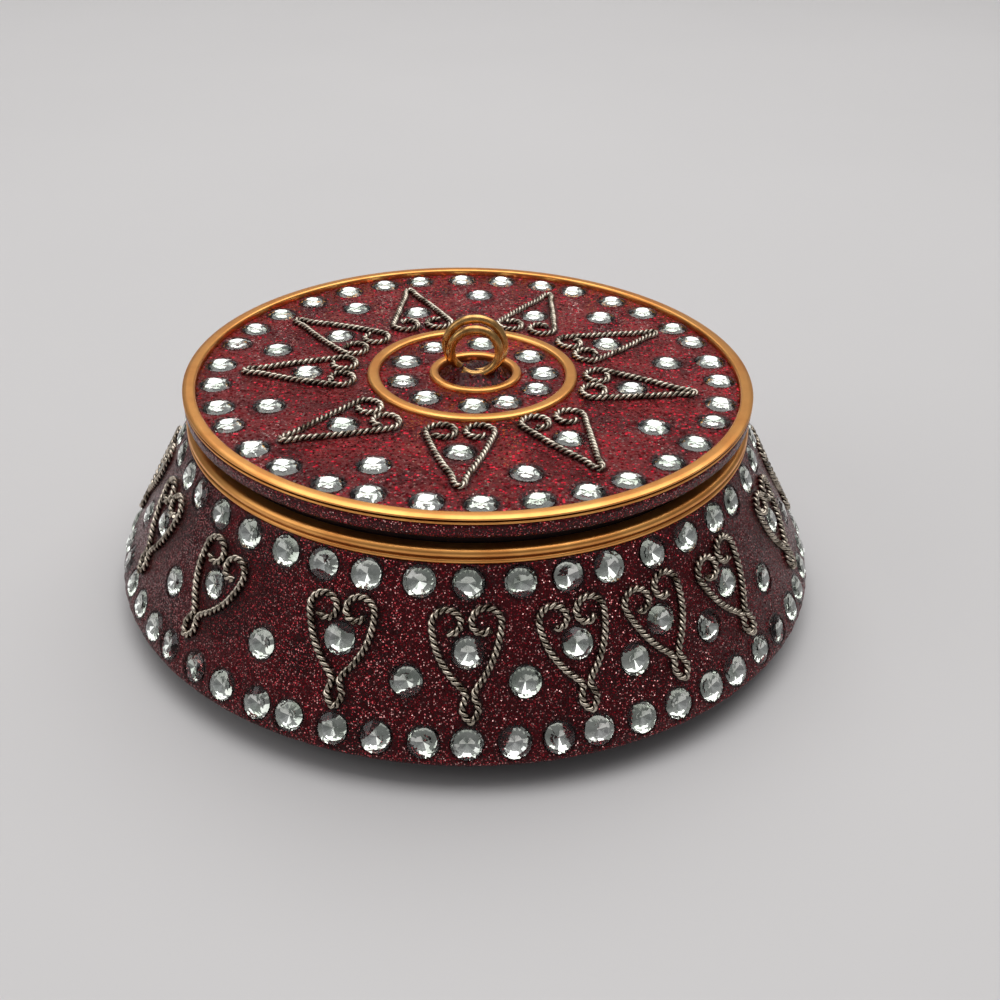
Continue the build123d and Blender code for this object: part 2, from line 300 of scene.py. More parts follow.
def turnedMetal(name, look):
    # fine lines that run round the axis, from a noise over radius and height
    finish, tree, shader, place = newFinish(name)
    across = addNode(tree, "ShaderNodeSeparateXYZ", {0: place}).outputs
    flat = addNode(tree, "ShaderNodeCombineXYZ", {0: across[0], 1: across[1]})
    radius = addNode(tree, "ShaderNodeVectorMath", {0: flat.outputs[0]}, operation="LENGTH")
    rings = addNode(tree, "ShaderNodeCombineXYZ", {0: radius.outputs["Value"], 1: across[2]})
    turning = grain(tree, rings.outputs[0], turnedLook["turning"])
    wear = grain(tree, place, turnedLook["wear"])
    colour = ramp(tree, wear, [*zip(turnedLook["wearEnds"], (look["worn"], look["bright"]))])
    feed(tree, shader, {
        "Base Color": inCrevices(tree, colour, look["groove"], turnedLook["grooveReach"]),
        "Metallic": 1.0,
        "Normal": bumped(tree, turning, look["lines"], turnedLook["lineDepth"]),
        "Roughness": between(tree, wear, *look["roughness"]),
    })
    return finish


# each groove colour is painted shade, laid in the crevices by inCrevices
wireLook = {
    "gilt": {
        "dark": (0.42, 0.21, 0.07), "bright": (0.78, 0.45, 0.16), "groove": (0.05, 0.02, 0.01),
        "roughness": 0.26,
    },
    "twisted": {
        "dark": (0.10, 0.075, 0.05), "bright": (0.74, 0.65, 0.53), "groove": (0.006, 0.004, 0.003),
        "roughness": 0.28,
    },
    "tarnish": {"Scale": 700, "Detail": 5, "Roughness": 0.65},
    "tarnishEnds": (0.34, 0.58),
    "scratchBump": (0.3, 0.02),
    "grooveReach": 0.45,
}


def drawnWire(name, look):
    finish, tree, shader, place = newFinish(name)
    tarnish = grain(tree, place, wireLook["tarnish"])
    colour = ramp(tree, tarnish, [*zip(wireLook["tarnishEnds"], (look["dark"], look["bright"]))])
    feed(tree, shader, {
        "Base Color": inCrevices(tree, colour, look["groove"], wireLook["grooveReach"]),
        "Metallic": 1.0,
        "Normal": bumped(tree, tarnish, *wireLook["scratchBump"]),
        "Roughness": look["roughness"],
    })
    return finish


# Looks of one cloudy colour, with the shader's constants as they are
cloudyLook = {
    "clearGlass": {
        "clouds": {"Scale": 500, "Detail": 2},
        "stops": [(0.35, (0.93, 0.96, 0.94)), (0.7, (1.0, 0.98, 0.98))],
        "shader": {"Transmission Weight": 1.0, "Roughness": 0.015, "IOR": 1.54},
    },
    "stoneFoil": {
        "clouds": {"Scale": 420, "Detail": 3},
        "stops": [(0.32, (0.62, 0.67, 0.60)), (0.55, (0.93, 0.95, 0.91))],
        "shader": {"Metallic": 1.0, "Roughness": 0.05},
    },
    # near black paint, which also stands in for the shade in the recessed neck and under the
    # overhang
    "darkPaintAndShade": {
        "clouds": {"Scale": 300, "Detail": 4},
        "stops": [(0.35, (0.006, 0.003, 0.004)), (0.65, (0.016, 0.006, 0.008))],
        "shader": {"Roughness": 0.55, "Specular IOR Level": 0.3},
        "bump": (0.3, 0.05),
    },
    "palePaper": {
        "clouds": {"Scale": 6, "Detail": 3},
        "stops": [(0.3, (0.6402, 0.62565, 0.6208)), (0.7, (0.66, 0.645, 0.64))],
        "shader": {"Roughness": 0.6},
    },
}


def cloudy(name):
    look = cloudyLook[name]
    finish, tree, shader, place = newFinish(name)
    clouds = grain(tree, place, look["clouds"])
    feed(tree, shader, {"Base Color": ramp(tree, clouds, look["stops"]), **look["shader"]})
    if "bump" in look:
        feed(tree, shader, {"Normal": bumped(tree, clouds, *look["bump"])})
    return finish


finishes = {
    "flank_enamel": glitterLac("flankLac", lacLook["flank"]),
    "lid_enamel": glitterLac("lidLac", lacLook["lid"]),
    "gilt_bead": turnedMetal("giltBead", turnedLook["gilt"]),
    "gilt_wire": drawnWire("giltWire", wireLook["gilt"]),
    "spun_metal": turnedMetal("spunMetal", turnedLook["spun"]),
    "cut_stones": cloudy("clearGlass"),
    "twisted_wire": drawnWire("twistedWire", wireLook["twisted"]),
}
foil = cloudy("stoneFoil")
darkPaintAndShade = cloudy("darkPaintAndShade")
print("finishes made")


# Places on the flank and on the lid, each with its outward and its sideways direction


def onFlank(azimuth, slant):
    turn = math.radians(azimuth)
    radius = boxSizes["shoulderRadius"] + flankUp * slant
    height = boxSizes["shoulderHeight"] - flankOut * slant
    spot = Vector((radius * math.sin(turn), -radius * math.cos(turn), height))
    outward = Vector((flankOut * math.sin(turn), -flankOut * math.cos(turn), flankUp))
    return spot, outward, Vector((math.cos(turn), math.sin(turn), 0))


def onLid(azimuth, radius, shift=0.0):
    turn = math.radians(azimuth)
    across, back = shift + radius * math.sin(turn), -radius * math.cos(turn)
    spot = Vector((across, back, boxSizes["lacTop"]))
    return spot, Vector((0, 0, 1)), Vector((math.cos(turn), math.sin(turn), 0))


# Turned pieces; outlines are (radius, height)

turned = {
    "columns": 256,
    "cornerSteps": 4,
    "cornerShare": 0.45,
    "sharpAngle": 40,
    "axis": 0.001,
}


def rounded(corners, radius, steps=turned["cornerSteps"]):
    # each corner of a closed outline becomes a small arc, but for those on the axis
    outline = []
    for k, corner in enumerate(corners):
        here = Vector(corner)
        if here.x < 2 * turned["axis"]:
            outline.append(tuple(here))
            continue
        start = Vector(corners[k - 1]) - here
        end = Vector(corners[(k + 1) % len(corners)]) - here
        share = turned["cornerShare"]
        reach = min(radius, share * start.length, share * end.length)
        near, far = here + start.normalized() * reach, here + end.normalized() * reach
        for i in range(steps + 1):
            t = i / steps
            spot = near * (1 - t) ** 2 + here * 2 * t * (1 - t) + far * t ** 2
            outline.append((spot.x, spot.y))
    return outline


def turnedPiece(name, outline, body, slot, node, shift=0.0):
    columns = turned["columns"]
    points = []
    for c in range(columns):
        turn = 2 * math.pi * c / columns
        for r, z in outline:
            x, y = shift + r * math.sin(turn), -r * math.cos(turn)
            points.append((x * mm, y * mm, z * mm))
    faces = gridFaces(columns, len(outline))
    return addMesh(name, points, faces, body, slot, [node], sharpAngle=turned["sharpAngle"])


def insetLine(corners, wall):
    # the inside of a sheet that follows an open outline
    lines = []
    for (r0, z0), (r1, z1) in zip(corners, corners[1:]):
        dr, dz = r1 - r0, z1 - z0
        run = math.hypot(dr, dz)
        aside = (-dz / run * wall, dr / run * wall)
        lines.append(((r0 + aside[0], z0 + aside[1]), (dr, dz), (r1 + aside[0], z1 + aside[1])))
    inside = [lines[0][0]]
    for (p, d, _), (q, e, _) in zip(lines, lines[1:]):
        cross = d[0] * e[1] - d[1] * e[0]
        along = ((q[0] - p[0]) * e[1] - (q[1] - p[1]) * e[0]) / cross
        inside.append((p[0] + d[0] * along, p[1] + d[1] * along))
    inside.append(lines[-1][2])
    return inside


panShape = {
    "foot": 38.6,
    "rollFoot": 3.4,
    "softness": 0.5,
}
rollDrop = boxSizes["shoulderHeight"] - panShape["rollFoot"]
rollRadius = wallRadius + rollDrop * flankSpread / flankDrop


def makeBasePan():
    outside = [
        (turned["axis"], 0),
        (panShape["foot"], 0),
        (rollRadius, panShape["rollFoot"]),
        (wallRadius, boxSizes["shoulderHeight"]),
        (boxSizes["neckRadius"], boxSizes["shoulderHeight"]),
        (boxSizes["neckRadius"], boxSizes["seatHeight"]),
    ]
    inside = insetLine(outside, boxSizes["sheet"])
    outline = rounded(outside + inside[::-1], panShape["softness"])
    pan = turnedPiece("spunPan", outline, "base", "spun_metal", "base_pan")
    # the outside is painted near black, which is also painted shade in the recessed neck and under
    # the overhang: all its corners but the one on the axis are rounded
    painted = (turned["cornerSteps"] + 1) * (len(outside) - 1)
    rows = len(outline)
    pan.data.materials.append(darkPaintAndShade)
    pan.data.polygons.foreach_set(
        "material_index", [int(k % rows < painted) for k in range(len(pan.data.polygons))])


lidPanShape = {
    "collarOuter": 35.7,
    "collarInner": 34.9,
    "collarFoot": 24.2,
    "softness": 0.25,
}


def makeLidPan():
    seat, top = boxSizes["seatHeight"], boxSizes["plateTop"]
    outline = rounded([
        (turned["axis"], seat),
        (lidPanShape["collarInner"], seat),
        (lidPanShape["collarInner"], lidPanShape["collarFoot"]),
        (lidPanShape["collarOuter"], lidPanShape["collarFoot"]),
        (lidPanShape["collarOuter"], seat),
        (boxSizes["plateRadius"], seat),
        (boxSizes["plateRadius"], top),
        (turned["axis"], top),
    ], lidPanShape["softness"])
    turnedPiece("lidPlate", outline, "lid", "spun_metal", "lid_pan")


beadShapes = {
    "lidRim": [
        (37.3, 29.0), (37.3, 30.8), (37.5, 31.0), (38.5, 31.0), (38.98, 30.85), (38.99, 30.64),
        (38.5, 30.48), (38.99, 30.34), (38.99, 30.12), (38.75, 29.95), (38.2, 29.95), (38.2, 29.0),
    ],
    "baseRim": [
        (36.95, 24.6), (38.55, 24.6), (38.93, 24.78), (38.93, 25.16), (38.45, 25.40),
        (38.93, 25.62), (38.93, 26.12), (38.5, 26.5), (36.95, 26.5),
    ],
    "softness": 0.28,
    "middle": {"outer": 14.6, "inner": 12.9},
    "centre": {"outer": 6.4, "inner": 5.1},
    "ringTop": 30.75,
    "ringSoftness": 0.5,
    "ringSteps": 6,
}


def makeBeads():
    soft = beadShapes["softness"]
    lidRim, baseRim = rounded(beadShapes["lidRim"], soft), rounded(beadShapes["baseRim"], soft)
    turnedPiece("lidRimBead", lidRim, "lid", "gilt_bead", "lid_rim_ring")
    turnedPiece("baseRimBead", baseRim, "base", "gilt_bead", "base_rim_ring")
    low, high = boxSizes["plateTop"], beadShapes["ringTop"]
    for name in ("middle", "centre"):
        inner, outer = beadShapes[name]["inner"], beadShapes[name]["outer"]
        ring = rounded([(inner, low), (outer, low), (outer, high), (inner, high)],
                       beadShapes["ringSoftness"], beadShapes["ringSteps"])
        turnedPiece(f"{name}Bead", ring, "lid", "gilt_bead", f"lid_{name}_ring",
                    boxSizes[f"{name}Shift"])


makeBasePan()
makeLidPan()
makeBeads()
print("turned metal pieces made")


# Where the stones and the wire motifs lie, as on the CAD nodes

stoneRows = {
    "flankDiameter": 3.9,
    "lidDiameter": 4.2,
    "top": {"count": 43, "slant": 2.2},
    "bottom": {"count": 57, "slant": 20.86},
    "rim": {"count": 34, "radius": 34.7, "phase": 2.3},
    "centreRadius": 9.95,
    "centre": [1, 27, 61, 91, 125, 172, 214, 250, 287, 321],
    "unevenness": 0.6,
    "waves": (2.4, 0.9),
}
motifs = {
    "flankSlant": 10.23,
    "flankFieldSlant": 13.85,
    # azimuth and lean of each heart
    "flank": [
        (0, 3), (17, 5), (32, 10), (48, 12), (71, 0), (91, -6), (111, 4), (131, -3), (152, 8),
        (172, 0), (192, -5), (212, 6), (232, -8), (252, 3), (272, -4), (292, 0), (314, -12),
        (340, 5),
    ],
    "flankField": [
        8.5, 26, 41, 58.5, 81, 101, 121, 142, 162, 182, 202, 222, 242, 262, 282, 304, 327, 351],
    "lidRadius": 22.57,
    "lidFieldRadius": 28.4,
    "lid": [
        (357, 3), (34, -12), (79, 0), (117, 0), (154, 8), (201, -10), (238, -4), (271, 0),
        (314, -12),
    ],
    "lidField": [14, 57, 98, 135, 177, 218, 256, 292, 336],
}


def rowAzimuths(count, diameter, radius, phase=0.0):
    # even steps, each stone moved by a share of the room beside it
    step = 360 / count
    room = stoneRows["unevenness"] * (step - math.degrees(diameter / radius)) / 2
    fast, slow = stoneRows["waves"]
    return [phase + k * step + room * math.sin(fast * k) * math.cos(slow * k)
            for k in range(count)]


def flankRow(row):
    radius = boxSizes["shoulderRadius"] + flankUp * row["slant"]
    azimuths = rowAzimuths(row["count"], stoneRows["flankDiameter"], radius)
    return [(a, row["slant"]) for a in azimuths]


def rimRow(row):
    azimuths = rowAzimuths(row["count"], stoneRows["lidDiameter"], row["radius"], row["phase"])
    return [(a, row["radius"], 0) for a in azimuths]


# Flank stones are (azimuth, slant), lid stones are (azimuth, radius, shift along X)
flankStones = {
    "base_top_stones": flankRow(stoneRows["top"]),
    "base_bottom_stones": flankRow(stoneRows["bottom"]),
    "base_motif_stones": [(a, motifs["flankSlant"]) for a, _ in motifs["flank"]],
    "base_field_stones": [(a, motifs["flankFieldSlant"]) for a in motifs["flankField"]],
}
lidStones = {
    "lid_rim_stones": rimRow(stoneRows["rim"]),
    "lid_motif_stones": [(a, motifs["lidRadius"], 0) for a, _ in motifs["lid"]],
    "lid_field_stones": [(a, motifs["lidFieldRadius"], 0) for a in motifs["lidField"]],
    "lid_centre_stones": [
        (a, stoneRows["centreRadius"], boxSizes["middleShift"]) for a in stoneRows["centre"]],
}


# Wire motifs: a heart of two curls whose legs run together into a tail

motifShapes = {
    "flank": {
        "halfWidth": 4.05, "curl": 2.05, "curlEnd": 1.08, "curlDrop": 3.41, "bulge": 0.85,
        "waist": (0.52, 4.7), "tail": (0.95, 6.4), "end": 8.01,
    },
    "lid": {
        "halfWidth": 4.4, "curl": 2.15, "curlEnd": 1.3, "curlDrop": 4.79, "bulge": 0.2,
        "waist": (0.91, 6.24), "tail": (0.66, 7.8), "end": 8.66,
    },
    "curlAngle": 312,
    "curlSteps": 9,
    "legs": 3,
    "tipWidth": 0.6,
    "spanSteps": 16,
    # (least, most, size) of what the hand adds
    "handAngle": (-1, 0.6, 30),
    "handCurl": (-1, 0, 0.03),
    "handCurlEnd": (-3, 0, 0.03),
    "handLeg": (-1, 1, 0.2),
}
twist = {
    "strandRadius": 0.235,
    "roundness": 1,
    "spread": 0.245,
    "pitch": 1.62,
    "pointsPerTurn": 12,
    "rise": 0.27,
}


def uneven(least, most, size):
    return hand.uniform(least, most) * size


def motifHalf(shape):
    # no two halves are bent quite alike
    curlAngle = motifShapes["curlAngle"] + uneven(*motifShapes["handAngle"])
    curl = shape["curl"] * (1 + uneven(*motifShapes["handCurl"]))
    curlEnd = shape["curlEnd"] * (1 + uneven(*motifShapes["handCurlEnd"]))
    bulge = shape["bulge"] + uneven(*motifShapes["handLeg"])
    centre = (shape["halfWidth"] - curl, -shape["curlDrop"])
    half = []
    for k in range(motifShapes["curlSteps"], -1, -1):
        share = k / motifShapes["curlSteps"]
        turn = math.radians(curlAngle * share)
        reach = curl + (curlEnd - curl) * share
        half.append((centre[0] + reach * math.cos(turn), centre[1] - reach * math.sin(turn)))
    start, waist, tail, end = half[-1], shape["waist"], shape["tail"], shape["end"]
    for k in range(1, motifShapes["legs"] + 1):
        share = k / (motifShapes["legs"] + 1)
        across = start[0] + (waist[0] - start[0]) * share + bulge * math.sin(math.pi * share)
        half.append((across, start[1] + (waist[1] - start[1]) * share))
    return half + [waist, tail, (motifShapes["tipWidth"] * tail[0], (tail[1] + 2 * end) / 3)]


def motifLine(shape, lean):
    # the whole heart from curl to curl, as (across, down), turned by its lean
    right, left = motifHalf(shape), motifHalf(shape)
    line = right + [(0, shape["end"])] + [(-u, w) for u, w in left[::-1]]
    c, s = math.cos(math.radians(lean)), math.sin(math.radians(lean))
    return [(u * c + w * s, w * c - u * s) for u, w in line]


def smoothLine(points, gap):
    # an even line of points through the given ones, as a supple wire would run
    steps, last = motifShapes["spanSteps"], len(points) - 1
    fine = []
    for k in range(last):
        p0, p1, p2, p3 = (Vector(points[i]) for i in (max(k - 1, 0), k, k + 1, min(k + 2, last)))
        for i in range(steps):
            t = i / steps
            fine.append(0.5 * (2 * p1 + (p2 - p0) * t + (2 * p0 - 5 * p1 + 4 * p2 - p3) * t ** 2
                               + (3 * p1 - p0 - 3 * p2 + p3) * t ** 3))
    fine.append(Vector(points[-1]))
    even = [fine[0]]
    carried = 0.0
    for a, b in zip(fine, fine[1:]):
        run = (b - a).length
        while carried + run >= gap:
            a = a + (b - a) * ((gap - carried) / run)
            run = (b - a).length
            even.append(a.copy())
            carried = 0.0
        carried += run
    return even


def twistedStrands(name, seats, body, node):
    # seats are places and outward directions along the wire, in millimetres
    phase = hand.uniform(0, math.pi)
    strands = []
    for strand in range(2):
        spots = []
        for k, (spot, outward) in enumerate(seats):
            before = seats[max(k - 1, 0)][0]
            after = seats[min(k + 1, len(seats) - 1)][0]
            along = (after - before).normalized()
            side = outward.cross(along).normalized()
            turn = phase + strand * math.pi + 2 * math.pi * k / twist["pointsPerTurn"]
            offset = (outward * math.cos(turn) + side * math.sin(turn)) * twist["spread"]
            spots.append((spot + outward * twist["rise"] + offset) * mm)
        strands.append(spots)
    addWire(name, strands, twist["strandRadius"], twist["roundness"], body, "twisted_wire", node)


def flankSeats(azimuth, lean, gap):
    seats = []
    for across, down in smoothLine(motifLine(motifShapes["flank"], lean), gap):
        slant = motifs["flankSlant"] + down
        radius = boxSizes["shoulderRadius"] + flankUp * slant
        spot, outward, _ = onFlank(azimuth + math.degrees(across / radius), slant)
        seats.append((spot, outward))
    return seats


def lidSeats(azimuth, lean, gap):
    centre, up, around = onLid(azimuth, motifs["lidRadius"])
    outward = around.cross(up)
    return [(centre + around * across + outward * down, up)
            for across, down in smoothLine(motifLine(motifShapes["lid"], lean), gap)]


wireGap = twist["pitch"] / twist["pointsPerTurn"]
flankWires = [flankSeats(a, lean, wireGap) for a, lean in motifs["flank"]]
lidWires = [lidSeats(a, lean, wireGap) for a, lean in motifs["lid"]]
for k, seats in enumerate(flankWires, start=1):
    twistedStrands(f"flankMotif{k:02d}", seats, "base", f"base_motif_wire_{k:02d}")
for k, seats in enumerate(lidWires, start=1):
    twistedStrands(f"lidMotif{k:02d}", seats, "lid", f"lid_motif_wire_{k:02d}")
print("twisted wire motifs laid")


# Foil-backed stones; table, crown, girdle and backs are shares of the diameter

stoneCut = {
    "sides": 16,
    "tableSides": 8,
    "table": 0.25,
    "crown": 0.14,
    "girdle": 0.03,
    "flankBack": 0.14,
    "lidBack": 0.085,
    "sink": 0.10,
    "tilt": 3.5,
    "sizes": (0.98, 1.01),
}


def stoneRing(diameter, share, height, count):
    turns = [2 * math.pi * k / count for k in range(count)]
    return [Vector((diameter * share * math.cos(turn), diameter * share * math.sin(turn),
                    diameter * height)) for turn in turns]


def cutStone(diameter, back):
    # a crown of triangles round an eight-sided table, over a girdle and a pointed back of foil
    sides, tableSides = stoneCut["sides"], stoneCut["tableSides"]
    points = stoneRing(diameter, 0.5, 0, sides)
    points += stoneRing(diameter, 0.5, stoneCut["girdle"], sides)
    points += stoneRing(diameter, stoneCut["table"], stoneCut["crown"], tableSides)
    points.append(Vector((0, 0, -diameter * back)))
    table, tip = 2 * sides, 2 * sides + tableSides
    glassFaces, foilFaces = [], []
    for k in range(sides):
        far = (k + 1) % sides
        foilFaces.append((k, far, sides + far, sides + k))
    for k in range(tableSides):
        here, there = table + k, table + (k + 1) % tableSides
        low, middle, high = 2 * k, 2 * k + 1, (2 * k + 2) % sides
        glassFaces.append((sides + low, sides + middle, here))
        glassFaces.append((sides + middle, sides + high, there))
        glassFaces.append((sides + middle, there, here))
        foilFaces.append((tip, high, middle))
        foilFaces.append((tip, middle, low))
    glassFaces.append(tuple(table + k for k in range(tableSides)))
    return points, glassFaces, foilFaces


def handTip(axis):
    return Matrix.Rotation(math.radians(uneven(-1, 1, stoneCut["tilt"])), 3, axis)


def setStones(name, diameter, back, seats, body, node):
    stonePoints, glassFaces, foilFaces = cutStone(diameter, back)
    points, faces, backs = [], [], []
    for spot, outward, around in seats:
        base = len(points)
        spin = Matrix.Rotation(hand.uniform(0, math.pi / 4), 3, "Z")
        tip = handTip("X")
        tip = tip @ handTip("Y")
        size = hand.uniform(*stoneCut["sizes"])
        seat = spot - outward * stoneCut["sink"]
        axes = Matrix((around, outward.cross(around), outward)).transposed()
        points += [(seat + axes @ (tip @ (spin @ (p * size)))) * mm for p in stonePoints]
        faces += [tuple(base + i for i in face) for face in glassFaces + foilFaces]
        backs += [0] * len(glassFaces) + [1] * len(foilFaces)
    piece = addMesh(name, points, faces, body, "cut_stones", [node], smooth=False)
    piece.data.materials.append(foil)
    piece.data.polygons.foreach_set("material_index", backs)
    piece.data.update()


for node, seats in flankStones.items():
    name = node.replace("base_", "flank").replace("_stones", "Stones")
    places = [onFlank(*seat) for seat in seats]
    setStones(name, stoneRows["flankDiameter"], stoneCut["flankBack"], places, "base", node)
for node, seats in lidStones.items():
    name = node.replace("lid_", "lid").replace("_stones", "Stones")
    places = [onLid(*seat) for seat in seats]
    setStones(name, stoneRows["lidDiameter"], stoneCut["lidBack"], places, "lid", node)
print("stones set")


# Lac coats, pressed up round the stones and along the wires

lacShape = {
    "gap": 0.32,
    "wave": 0.06,
    "waveScale": 0.4,
    "lip": 0.10,
    "lipSpread": 0.24,
    "lipOut": 0.22,
    "bed": 0.04,
    # stoneShade and wireShade are the reaches of the painted shade round stones and along wires
    "stoneShade": 0.26,
    "wireStep": 3,
    "wireNear": 12,
    "wireBank": 0.12,
    "wireReach": 0.75,
    "wireShade": 0.72,
}


def pressed(surface, stones, wires):
    # how far the lac stands up at each point, in millimetres, and how dark it is there: painted
    # shade round the stones and along the wires
    points = np.array([tuple(p) for p in surface])
    rise = np.array([lacShape["wave"] * noise.noise(p * lacShape["waveScale"]) for p in surface])
    shade = np.zeros(len(points))
    for spot, diameter in stones:
        away = np.linalg.norm(points - np.array(spot), axis=1)
        near = away < diameter
        away = away[near]
        ring = away - (diameter / 2 + lacShape["lipOut"])
        lip = lacShape["lip"] * np.exp(-(ring / lacShape["lipSpread"]) ** 2)
        # the pit under a stone follows the deeper backs, those of the flank
        pit = -stoneCut["flankBack"] * (diameter - 2 * away) - stoneCut["sink"] - lacShape["bed"]
        rise[near] = np.where(away < diameter / 2, pit, rise[near] + lip)
        dark = np.exp(-((ring + lacShape["lipOut"]) / lacShape["stoneShade"]) ** 2)
        shade[near] = np.maximum(shade[near], dark)
    bank = np.zeros(len(points))
    for seats in wires:
        line = np.array([tuple(spot) for spot, _ in seats])
        centre = np.mean(line, axis=0)
        near = np.where(np.linalg.norm(points - centre, axis=1) < lacShape["wireNear"])[0]
        if len(near) == 0:
            continue
        away = np.full(len(near), np.inf)
        for spot in line[::lacShape["wireStep"]]:
            away = np.minimum(away, np.linalg.norm(points[near] - spot, axis=1))
        bank[near] = np.maximum(bank[near], np.clip(1 - away / lacShape["wireReach"], 0, 1))
        shade[near] = np.maximum(shade[near], np.exp(-(away / lacShape["wireShade"]) ** 4))
    return rise + lacShape["wireBank"] * bank, shade


def addLac(name, points, shades, columns, body, slot, node):
    faces = gridFaces(columns, len(points) // columns)
    lac = addMesh(name, points, faces, body, slot, [node])
    layer = lac.data.attributes.new("paintedShadeAndDarkMound", "FLOAT", "POINT")
    layer.data.foreach_set("value", [float(v) for v in shades])


flankCoat = {
    "columns": 980,
    "lumps": (26, 0.6, 70),
    "fade": 1.2,
    "edgeBand": 1.3,
    "edgeSink": 0.12,
    "edgeLump": 0.10,
    "edgeWave": 0.22,
    # (inset, height, share of the edge's wave) of the rows that turn under
    "edgeRows": [(0.15, 3.75, 0.3), (0.45, 3.50, 0.6)],
    "rollHeight": 3.42,
}


def makeFlankLac():
    columns = flankCoat["columns"]
    rows = int(flankLength / lacShape["gap"])
    slants = [flankLength * k / rows for k in range(rows + 1)]
    places = [onFlank(360 * c / columns, slant) for c in range(columns) for slant in slants]
    diameter = stoneRows["flankDiameter"]
    stones = [(onFlank(*seat)[0], diameter) for seats in flankStones.values() for seat in seats]
    rise, shade = pressed([spot for spot, _, _ in places], stones, flankWires)
    edge = boxSizes["edgeRadius"] - flankCoat["edgeSink"]
    points, shades = [], []
    for c, way in enumerate(directions(columns)):
        rough = lumpiness(way, *flankCoat["lumps"])
        sink = flankCoat["edgeSink"] + flankCoat["edgeLump"] * rough
        for k, slant in enumerate(slants):
            at = c * (rows + 1) + k
            spot, outward, _ = places[at]
            fade = min(1, (flankLength - slant) / flankCoat["fade"])
            spot = spot + outward * float(rise[at]) * fade
            if slant > flankLength - flankCoat["edgeBand"]:
                spot -= outward * sink * (1 - fade)
            points.append(spot * mm)
            shades.append(shade[at])
        lip = flankCoat["edgeWave"] * rough
        under = [(edge - inset, z + share * lip) for inset, z, share in flankCoat["edgeRows"]]
        under += [(rollRadius, flankCoat["rollHeight"]), (wallRadius, boxSizes["shoulderHeight"])]
        for r, z in under:
            points.append((way * r + Vector((0, 0, z))) * mm)
            shades.append(0)
    addLac("flankLac", points, shades, columns, "base", "flank_enamel", "base_enamel")


# inner and outer are (radius, shift along X) of the two beads that hold each field
lidCoats = [
    {"name": "lidOuterLac", "node": "lid_outer_enamel", "columns": 760,
     "inner": (14.57, boxSizes["middleShift"]), "outer": (37.27, 0)},
    {"name": "lidInnerLac", "node": "lid_inner_enamel", "columns": 240,
     "inner": (6.43, boxSizes["centreShift"]), "outer": (12.93, boxSizes["middleShift"])},
]


def makeLidLac(coat):
    columns, inner, outer = coat["columns"], coat["inner"], coat["outer"]
    rows = int((outer[0] - inner[0]) / lacShape["gap"])
    surface = []
    for way in directions(columns):
        for k in range(rows + 1):
            share = k / rows
            radius = inner[0] + (outer[0] - inner[0]) * share
            shift = inner[1] + (outer[1] - inner[1]) * share
            surface.append(way * radius + Vector((shift, 0, boxSizes["lacTop"])))
    diameter = stoneRows["lidDiameter"]
    stones = [(onLid(*seat)[0], diameter) for seats in lidStones.values() for seat in seats]
    rise, shade = pressed(surface, stones, lidWires)
    points, shades = [], []
    for c in range(columns):
        first = c * (rows + 1)
        for at in range(first, first + rows + 1):
            points.append((surface[at] + Vector((0, 0, float(rise[at])))) * mm)
            shades.append(shade[at])
        for foot in (surface[first + rows], surface[first]):
            points.append(Vector((foot.x, foot.y, boxSizes["plateTop"])) * mm)
            shades.append(0)
    addLac(coat["name"], points, shades, columns, "lid", "lid_enamel", coat["node"])


bandCoat = {
    "columns": 740,
    "lumps": (30, 0.5, 90),
    # (radius, share of the lumps, height) round its section
    "section": [
        (38.95, -0.05, 29.95), (38.93, 0.02, 29.4), (38.9, 0.04, 28.9), (38.86, 0.05, 28.40),
        (38.74, 0, 28.26), (38.25, 0, 28.22), (38.25, 0, 29.95),
    ],
}


def makeBandLac():
    # glitter coat on the upright edge of the lid, a little lumpy
    points = []
    for way in directions(bandCoat["columns"]):
        rough = lumpiness(way, *bandCoat["lumps"])
        for r, share, z in bandCoat["section"]:
            points.append((way * (r + share * rough) + Vector((0, 0, z))) * mm)
    faces = gridFaces(bandCoat["columns"], len(bandCoat["section"]))
    # the edge band takes the flank's darker copy of the lac, painted shade on an upright side
    addMesh("bandLac", points, faces, "lid", "flank_enamel", ["lid_band_enamel"])


makeFlankLac()
for coat in lidCoats:
    makeLidLac(coat)
makeBandLac()
print("lac coats made")


# Ring handle: two turns of gilt wire whose ends are buried in a lump of lac

handle = {
    "wire": 1.25,
    "roundness": 6,
    "innerTurn": 6.4,
    "outerTurn": 7.74,
    "pitch": 1.5,
    "bed": 0.9,
    "innerLift": 0.8,
    "outerLift": 0.4,
    "arcPoints": 40,
    "tuckedTurn": 36,
    "tuckedPoints": 8,
}
mound = {
    "columns": 96,
    "rows": 22,
    "foot": 5.05,
    "brim": 0.3,
    "climb": 2.2,
    "sink": 0.35,
    "rise": 0.65,
    "shoulder": 2.9,
    "shoulderRise": 0.95,
    "shoulderSpread": 1.25,
    "lumps": 0.5,
    "lumpScale": 0.8,
    "lumpSlice": 3,
    "shade": 0.75,
}


def onArc(start, end, side, turn):
    # a place on the half turn from start to end, on either side of the line between them
    middle, reach = (start + end) / 2, (end - start).length / 2
    bulge = Vector((side * reach * math.sin(turn), 0, 0))
    return middle + (start - middle) * math.cos(turn) + bulge


